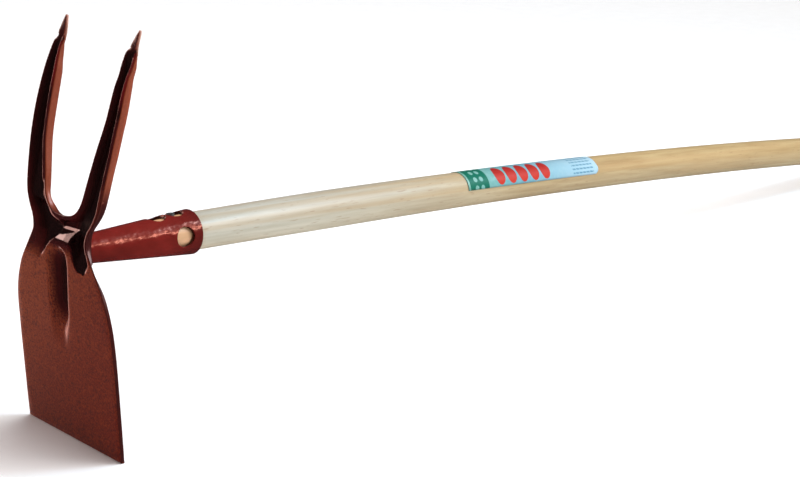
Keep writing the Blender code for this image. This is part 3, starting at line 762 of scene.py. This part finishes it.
def make_socket(material):
    edge = socket_loop()
    loops = [edge] + [hole_loop(x, angle) for x, angle in NAIL_HOLES]
    extra = []
    for inset in [share * SOCKET_ROUND for share in SOCKET_RINGS]:
        extra += [tuple(p) for x, angle in NAIL_HOLES for p in hole_loop(x, angle, inset)]
        extra += [tuple(point + normal * inset) for point, normal in zip(edge, inward_normals(edge))]
    taken = extra + [tuple(p) for loop in loops for p in loop]
    flat, faces = triangulate(loops, extra + filling(loops, taken, SOCKET_STEP))
    distances = [nearest_on(flat, loop + loop[:1])[0] for loop in loops]
    drop = edge_drop(np.min(distances, axis=0), SOCKET_ROUND)
    x, turn = flat[:, 0], flat[:, 1] / MOUTH_RADIUS
    outside, bore = socket_radius(x) - drop, socket_radius(x) - SOCKET_WALL + drop
    bore_x, bore_turn = bore_places(x, turn)
    points = np.concatenate([round_points(x, turn, outside), round_points(bore_x, bore_turn, bore)])
    # The bore and the holes' edges are bare steel, coloured near black as painted shade
    at_holes = np.min(distances[1:], axis=0) < SOCKET_RINGS[0] * SOCKET_ROUND
    bare_and_shaded = np.concatenate([at_holes, np.ones(len(flat))])
    tones = {"paint": np.column_stack([np.tile(x, 2), np.zeros(2 * len(flat)), bare_and_shaded])}
    socket = tool_object("socket_steel", points, plate_faces(faces, len(flat)), material, tones)
    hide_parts("socket")


def handle_frame(x):
    """Frame of the handle at x: straight in the socket, then along its bow."""
    along = max(x, 0.0)
    drop = -HANDLE_BOW * along * along
    turn = math.atan(2 * HANDLE_BOW * along)
    return Matrix.Translation((x, 0.0, drop)) @ Matrix.Rotation(turn, 4, "Y")


def handle_radius(x):
    fitted = MOUTH_RADIUS - SOCKET_WALL - GAP
    if x <= 0.0:
        return fitted + SOCKET_TAPER * x
    return mix(fitted, HANDLE_RADIUS, float(ease(x, *HANDLE_SWELL)))


def handle_stations():
    """(x, radius) down the handle, close together at its rounded butt."""
    plain = HANDLE_END_X - END_ROUND
    count = round((plain - HANDLE_START_X) / HANDLE_STEP)
    spots = [mix(HANDLE_START_X, plain, i / count) for i in range(count + 1)]
    stations = [(x, handle_radius(x)) for x in spots]
    for i in range(1, END_RINGS + 1):
        turn = math.pi / 2 * i / END_RINGS
        stations.append((plain + END_ROUND * math.sin(turn), HANDLE_RADIUS - END_ROUND * (1 - math.cos(turn))))
    return stations


def make_handle(material):
    n = HANDLE_SIDES
    turns = [2 * math.pi * i / n for i in range(n)]
    grain = [(x, radius * math.cos(t), radius * math.sin(t)) for x, radius in handle_stations() for t in turns]
    last = len(grain) - n
    sides = [(i, (i + 1) % n) for i in range(n)]
    faces = [(k + i, k + j, k + n + j, k + n + i) for k in range(0, last, n) for i, j in sides]
    for centre_x, first in ((HANDLE_START_X, 0), (HANDLE_END_X, last)):
        faces += [(first + i, first + j, len(grain)) for i, j in sides]
        grain.append((centre_x, 0.0, 0.0))
    points = [handle_frame(x) @ Vector((0.0, y, z)) for x, y, z in grain]
    handle = tool_object("handle_wood", points, faces, material, {"grain": grain})
    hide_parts("handle")


def label_loop():
    """Edge of the flat label, as (x, arc length round the handle), with rounded corners at its far end."""
    low, high = [math.radians(a) * HANDLE_RADIUS for a in LABEL_ANGLES]
    start, corner = LABEL_SPAN[0], LABEL_SPAN[1] - LABEL_CORNER
    side, arc, end = LABEL_STEPS
    loop = [Vector((mix(start, corner, i / side), low)) for i in range(side)]
    for middle, first in ((low + LABEL_CORNER, -90), (high - LABEL_CORNER, 0)):
        for i in range(arc + 1):
            t = math.radians(first + 90 * i / arc)
            loop.append(Vector((corner + LABEL_CORNER * math.cos(t), middle + LABEL_CORNER * math.sin(t))))
    loop += [Vector((mix(corner, start, i / side), high)) for i in range(1, side)]
    loop += [Vector((start, mix(high, low, i / end))) for i in range(end)]
    return loop


def make_label(material):
    loop = label_loop()
    flat, faces = triangulate([loop], filling([loop], loop, LABEL_STEP))
    points = []
    for radius in [HANDLE_RADIUS + lift for lift in LABEL_LIFTS]:
        for x, arc in flat:
            turn = arc / HANDLE_RADIUS
            points.append(handle_frame(x) @ Vector((0.0, -radius * math.cos(turn), radius * math.sin(turn))))
    places = np.column_stack([flat, np.zeros(len(flat))])
    tones = {"print": np.tile(places, (2, 1))}
    label = tool_object("label_print", points, plate_faces(faces, len(flat)), material, tones)
    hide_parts("label")


class Nodes:
    """Builds the nodes of a material or the world, with short calls for those that are used often."""

    SHADER_INPUTS = {
        "color": "Base Color", "roughness": "Roughness", "metallic": "Metallic", "normal": "Normal",
        "specular": "Specular IOR Level", "tint": "Specular Tint",
    }

    def __init__(self, owner, shader="Principled BSDF"):
        owner.use_nodes = True
        self.owner, self.tree = owner, owner.node_tree
        self.shader = self.tree.nodes[shader]

    def add(self, kind, inputs=(), **settings):
        node = self.tree.nodes.new("ShaderNode" + kind)
        for key, value in settings.items():
            setattr(node, key, value)
        for key, value in dict(inputs).items():
            self.feed(node.inputs[key], value)
        return node

    def feed(self, socket, value):
        if isinstance(value, bpy.types.NodeSocket):
            self.tree.links.new(value, socket)
        elif isinstance(value, tuple) and socket.type == "RGBA":
            socket.default_value = (*value, 1.0)
        else:
            socket.default_value = value

    def math(self, operation, a, b=0.0, c=0.0, clamp=False):
        return self.add("Math", {0: a, 1: b, 2: c}, operation=operation, use_clamp=clamp).outputs[0]

    def attribute(self, name):
        return self.add("Attribute", attribute_name=name).outputs["Vector"]

    def split(self, vector):
        return self.add("SeparateXYZ", {0: vector}).outputs

    def place(self):
        return self.add("TexCoord").outputs["Object"]

    def stretched(self, vector, scale):
        return self.add("Mapping", {"Vector": vector, "Scale": scale}).outputs[0]

    def noise(self, vector, scale, detail, roughness=0.5, distortion=0.0):
        values = {"Vector": vector, "Scale": scale, "Detail": detail, "Roughness": roughness, "Distortion": distortion}
        return self.add("TexNoise", values).outputs["Fac"]

    def ramp(self, factor, stops):
        """Straight blends between stops of (place, colour), where a number stands for a grey."""
        node = self.add("ValToRGB", {"Fac": factor})
        ramp = node.color_ramp
        while len(ramp.elements) < len(stops):
            ramp.elements.new(0.5)
        for element, (position, color) in zip(ramp.elements, stops):
            element.position = position
            element.color = (*color, 1.0) if isinstance(color, tuple) else (color, color, color, 1.0)
        return node.outputs["Color"]

    def varied(self, noise, low, high):
        """Blend between two colours over the middle of a noise's range."""
        return self.ramp(noise, ((0.3, low), (0.7, high)))

    def blend(self, factor, a, b):
        node = self.add("Mix", data_type="RGBA")
        for key, value in (("Factor_Float", factor), ("A_Color", a), ("B_Color", b)):
            self.feed(next(s for s in node.inputs if s.identifier == key), value)
        return next(s for s in node.outputs if s.identifier == "Result_Color")

    def bump(self, height, strength, distance, normal=None):
        node = self.add("Bump", {"Height": height, "Strength": strength, "Distance": distance})
        if normal:
            self.tree.links.new(normal, node.inputs["Normal"])
        return node.outputs[0]

    def between(self, value, low, high):
        """1 where the value lies between low and high, 0 elsewhere."""
        return self.math("MULTIPLY", self.math("GREATER_THAN", value, low), self.math("LESS_THAN", value, high))

    def from_middle(self, value, start, spacing):
        """Distance from the middle of the repeat that the value is in."""
        repeat = self.math("FRACT", self.math("DIVIDE", self.math("SUBTRACT", value, start), spacing))
        return self.math("MULTIPLY", self.math("ABSOLUTE", self.math("SUBTRACT", repeat, 0.5)), spacing)

    def reaches(self, x, y, radii):
        """1 where the point (x, y) lies within an ellipse round the origin, 0 elsewhere."""
        shares = [self.math("DIVIDE", value, radius) for value, radius in zip((x, y), radii)]
        squares = [self.math("MULTIPLY", share, share) for share in shares]
        return self.math("LESS_THAN", self.math("ADD", *squares), 1.0)

    def finish(self, **inputs):
        for key, value in inputs.items():
            self.feed(self.shader.inputs[self.SHADER_INPUTS[key]], value)
        return self.owner


def head_paint():
    n = Nodes(bpy.data.materials.new("head_paint"))
    place = n.place()
    spot, marks = n.split(place), n.split(n.attribute("paint"))
    speckle = n.noise(place, 760.0, 3.0, 0.8)
    patches = n.noise(place, 45.0, 3.0)
    # Painted light: the blade's brown is lighter towards its upper left and falls off towards its lower right
    painted_light_fade = n.math("MULTIPLY_ADD", spot["Z"], 5.0, n.math("MULTIPLY_ADD", spot["Y"], 5.5, 0.25))
    blade = n.ramp(painted_light_fade, ((0.0, (0.15, 0.009, 0.005)), (0.5, (0.19, 0.018, 0.007)), (1.0, (0.27, 0.046, 0.014))))
    blade = n.blend(n.ramp(speckle, ((0.38, 0.95), (0.51, 0.0))), blade, (0.055, 0.006, 0.006))
    blade = n.blend(n.ramp(speckle, ((0.5, 0.0), (0.66, 0.62))), blade, (0.37, 0.085, 0.022))
    # Painted shade on the front: maroon in the channels, near black where most shade is painted, dark red on the
    # ridges' bands
    maroon = n.varied(patches, (0.034, 0.0035, 0.004), (0.058, 0.0055, 0.0058))
    front = n.blend(n.ramp(marks["Y"], ((0.0, 0.0), (0.6, 1.0))), blade, maroon)
    front = n.blend(n.ramp(marks["Y"], ((0.7, 0.0), (1.0, 1.0))), front, (0.0085, 0.0014, 0.0016))
    front = n.blend(n.math("SUBTRACT", marks["Y"], 1.0, clamp=True), front, (0.125, 0.004, 0.005))
    warm = n.varied(speckle, (0.215, 0.042, 0.018), (0.31, 0.066, 0.029))
    side = n.blend(marks["Z"], n.varied(patches, (0.034, 0.004, 0.004), (0.052, 0.006, 0.005)), warm)
    # Pale beige on the tips is a painted highlight
    side = n.blend(n.math("SUBTRACT", marks["Z"], 1.0, clamp=True), side, (0.55, 0.3, 0.23))
    color = n.blend(marks["X"], side, front)
    gloss = n.math("MULTIPLY", marks["X"], marks["Y"])
    roughness = n.ramp(gloss, ((0.0, 0.32), (0.6, 0.14)))
    normal = n.bump(n.math("MULTIPLY", speckle, n.math("SUBTRACT", 1.0, gloss)), 0.15, 0.0002)
    return n.finish(color=color, roughness=roughness, normal=normal, tint=HIGHLIGHT_TINT)


def socket_paint(name="socket_paint"):
    n = Nodes(bpy.data.materials.new(name))
    place, marks = n.place(), n.split(n.attribute("paint"))
    patches = n.noise(place, 60.0, 4.0)
    color = n.varied(patches, (0.125, 0.009, 0.007), (0.195, 0.014, 0.011))
    # Painted shade: the socket is darker towards its mouth
    mouth_painted_shade = n.ramp(n.math("ADD", marks["X"], RAMP_SHIFT), ((0.08, 0.0), (0.098, 1.0)))
    color = n.blend(mouth_painted_shade, color, (0.095, 0.008, 0.007))
    # Near black on the bare bore and holes' edges: bare steel with painted shade
    color = n.blend(marks["Z"], color, (0.012, 0.004, 0.003))
    dents = n.noise(n.stretched(place, (0.6, 1.0, 1.0)), 70.0, 3.0)
    fine = n.noise(place, 700.0, 2.0)
    normal = n.bump(fine, 0.08, 0.0002, n.bump(dents, 0.7, 0.0028))
    return n.finish(color=color, roughness=0.23, normal=normal, specular=0.65, tint=SOCKET_TINT)


def handle_wood():
    n = Nodes(bpy.data.materials.new("handle_wood"))
    grain = n.attribute("grain")
    place = n.split(grain)
    height = n.add("MapRange", {"Value": place["Z"], "From Min": -HANDLE_RADIUS, "From Max": HANDLE_RADIUS}).outputs[0]
    # Painted light: the wood is paler towards its underside, as if lit from the floor
    painted_floor_light = n.ramp(height, ((0.0, 1.0), (0.8, 0.0)))
    streaks = n.noise(n.stretched(grain, (3.0, 60.0, 60.0)), 4.0, 6.0, 0.6, 0.4)
    rings = n.noise(n.stretched(grain, (0.8, 30.0, 30.0)), 3.0, 2.0, 0.5, 1.2)
    flecks = n.noise(n.stretched(grain, (90.0, 800.0, 800.0)), 1.0, 1.0)
    pale = n.varied(streaks, (0.35, 0.32, 0.255), (0.46, 0.44, 0.38))
    pale = n.blend(painted_floor_light, pale, n.varied(streaks, (0.52, 0.45, 0.32), (0.66, 0.58, 0.44)))
    golden = n.varied(streaks, (0.31, 0.192, 0.082), (0.45, 0.322, 0.162))
    golden = n.blend(painted_floor_light, golden, n.varied(streaks, (0.345, 0.245, 0.135), (0.475, 0.375, 0.23)))
    shifted = n.math("ADD", place["X"], RAMP_SHIFT)
    color = n.blend(n.ramp(shifted, ((0.095, 0.8), (0.103, 0.0), (0.19, 0.0), (0.44, 1.0))), pale, golden)
    color = n.blend(n.ramp(shifted, ((0.092, 1.0), (0.097, 0.0))), color, (0.72, 0.4, 0.22))
    color = n.blend(n.ramp(rings, ((0.45, 0.0), (0.6, 0.35))), color, (0.42, 0.26, 0.12))
    color = n.blend(n.ramp(flecks, ((0.66, 0.0), (0.74, 0.45))), color, (0.24, 0.13, 0.06))
    normal = n.bump(streaks, 0.12, 0.0003)
    return n.finish(color=color, roughness=0.36, normal=normal, specular=0.34)


def nail_zinc():
    n = Nodes(bpy.data.materials.new("nail_zinc"))
    tarnish = n.noise(n.place(), 900.0, 3.0)
    color = n.ramp(tarnish, ((0.35, (0.3, 0.3, 0.29)), (0.65, (0.55, 0.55, 0.54))))
    roughness = n.ramp(tarnish, ((0.35, 0.3), (0.65, 0.5)))
    return n.finish(color=color, roughness=roughness, metallic=1.0, normal=n.bump(tarnish, 0.1, 0.0002))


def dots(n, along, around):
    """Small dots over the cross band near the label's start."""
    x, y = n.from_middle(along, DOT_SPAN[0], DOT_SPACING), n.from_middle(around, 0.0, DOT_SPACING)
    return n.math("MULTIPLY", n.reaches(x, y, (DOT_RADIUS, DOT_RADIUS)), n.between(along, *DOT_SPAN))


def disc_row(n, along, around):
    """A row of tall discs in the middle of the label."""
    x, y = n.from_middle(along, DISC_SPAN[0], DISC_SPACING), n.math("SUBTRACT", around, DISC_MIDDLE)
    return n.math("MULTIPLY", n.reaches(x, y, DISC_REACH), n.between(along, *DISC_SPAN))


def ruled_lines(n, along, around):
    """Thin dashed lines along the far end of the label."""
    on_line = n.math("LESS_THAN", n.from_middle(around, 0.0, RULE_SPACING), RULE_HALF_WIDTH)
    from_dash = n.from_middle(n.math("ADD", along, around), 0.0, RULE_DASH)
    dashed = n.math("MULTIPLY", on_line, n.math("LESS_THAN", from_dash, RULE_DASH_HALF))
    return n.math("MULTIPLY", dashed, n.between(along, *RULE_SPAN))


def label_film():
    """A plain label: a dotted cross band, a row of discs and dashed lines on a film that pales along the handle."""
    n = Nodes(bpy.data.materials.new("label_film"))
    spot = n.split(n.attribute("print"))
    along, around = spot["X"], spot["Y"]
    worn = n.noise(n.place(), 250.0, 3.0)
    film = n.ramp(along, ((0.275, (0.15, 0.34, 0.27)), (0.34, (0.12, 0.285, 0.34)), (0.44, (0.34, 0.48, 0.56))))
    film = n.blend(n.ramp(worn, ((0.45, 0.0), (0.7, 0.2))), film, (0.36, 0.46, 0.48))
    band = n.math("SUBTRACT", n.between(along, *PRINT_BAND), dots(n, along, around), clamp=True)
    film = n.blend(band, film, (0.005, 0.12, 0.075))
    film = n.blend(disc_row(n, along, around), film, n.ramp(around, DISC_REDS))
    film = n.blend(ruled_lines(n, along, around), film, (0.1, 0.22, 0.3))
    return n.finish(color=film, roughness=0.28)


def floor_paper():
    n = Nodes(bpy.data.materials.new("floor_paper"))
    fibre = n.noise(n.place(), 40.0, 4.0)
    return n.finish(color=n.varied(fibre, 0.95, 0.98), roughness=0.9, specular=0.1)


def make_floor():
    bpy.ops.mesh.primitive_circle_add(vertices=96, radius=FLOOR_RADIUS, fill_type="NGON", location=(0.4, 0.0, -GAP))
    floor = bpy.context.object
    floor.name = "floor"
    floor.data.materials.append(floor_paper())
    floor.visible_glossy = False


def link_light(name, data, place, target):
    light = bpy.data.objects.new(name, data)
    light.location = place
    light.rotation_euler = (Vector(target) - Vector(place)).to_track_quat("-Z", "Y").to_euler()
    bpy.context.scene.collection.objects.link(light)
    return light


def add_panel(name, toward, distance, aim, size, energy, color=(1.0, 1.0, 1.0)):
    """A soft panel in a direction of the tool's frame, at a distance from the point that it's aimed at."""
    data = bpy.data.lights.new(name, "AREA")
    data.shape = "RECTANGLE"
    data.size, data.size_y = size
    data.energy = energy
    data.color = color
    place = POSE @ (Vector(aim) + Vector(toward).normalized() * distance)
    link_light(name, data, place, POSE @ Vector(aim))


def make_world():
    """A dim studio with one bright wall beyond the tool's far side."""
    world = bpy.data.worlds.new("studio")
    bpy.context.scene.world = world
    n = Nodes(world, "Background")
    directions = {0: n.add("TexCoord").outputs["Generated"], 1: Vector(BRIGHT_WALL).normalized()}
    toward = n.add("VectorMath", directions, operation="DOT_PRODUCT").outputs["Value"]
    n.feed(n.shader.inputs["Color"], n.ramp(toward, WALL_GLOW))


def make_lights():
    """Even soft light from above, and the panels that the lacquer mirrors."""
    sky = bpy.data.lights.new("overhead", "SUN")
    sky.energy = 3.2
    sky.angle = math.radians(70.0)
    link_light("overhead", sky, (0.5, -0.2, 1.0), (0.0, 0.0, 0.0)).visible_glossy = False
    add_panel("key", (0.62, -0.46, 0.64), 1.5, (0.06, 0.0, 0.0), (0.3, 0.3), 11.0, COOL_LIGHT)
    add_panel("low_key", (0.595, -0.663, 0.453), 1.2, (-0.03, 0.0, 0.0), (0.5, 0.08), 5.0)
    add_panel("far_left", (-0.45, 0.79, 0.42), 1.6, (-0.1, 0.0, 0.01), (0.45, 0.34), 5.5, ROSY_LIGHT)
    add_panel("far_back", (-0.63, 0.57, 0.535), 1.6, (-0.1, -0.01, 0.017), (0.26, 0.26), 2.8, ROSY_LIGHT)


def make_camera():
    data = bpy.data.cameras.new("camera")
    data.sensor_width = 36.0
    data.lens = CAMERA_LENS
    data.clip_start = 0.05
    data.clip_end = 50.0
    camera = bpy.data.objects.new("camera", data)
    axes = Matrix(CAMERA_AXES).transposed().to_4x4()
    camera.matrix_world = POSE @ Matrix.Translation(CAMERA_PLACE) @ axes
    bpy.context.scene.collection.objects.link(camera)
    bpy.context.scene.camera = camera


make_head(head_paint())
make_socket(socket_paint())
make_handle(handle_wood())
make_label(label_film())
for node, material in (("weld_bead", socket_paint("weld_paint")), ("fixing_nail", nail_zinc())):
    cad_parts[node].data.materials.clear()
    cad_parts[node].data.materials.append(material)
make_floor()
make_world()
make_lights()
make_camera()
bpy.context.scene.view_settings.view_transform = "Standard"
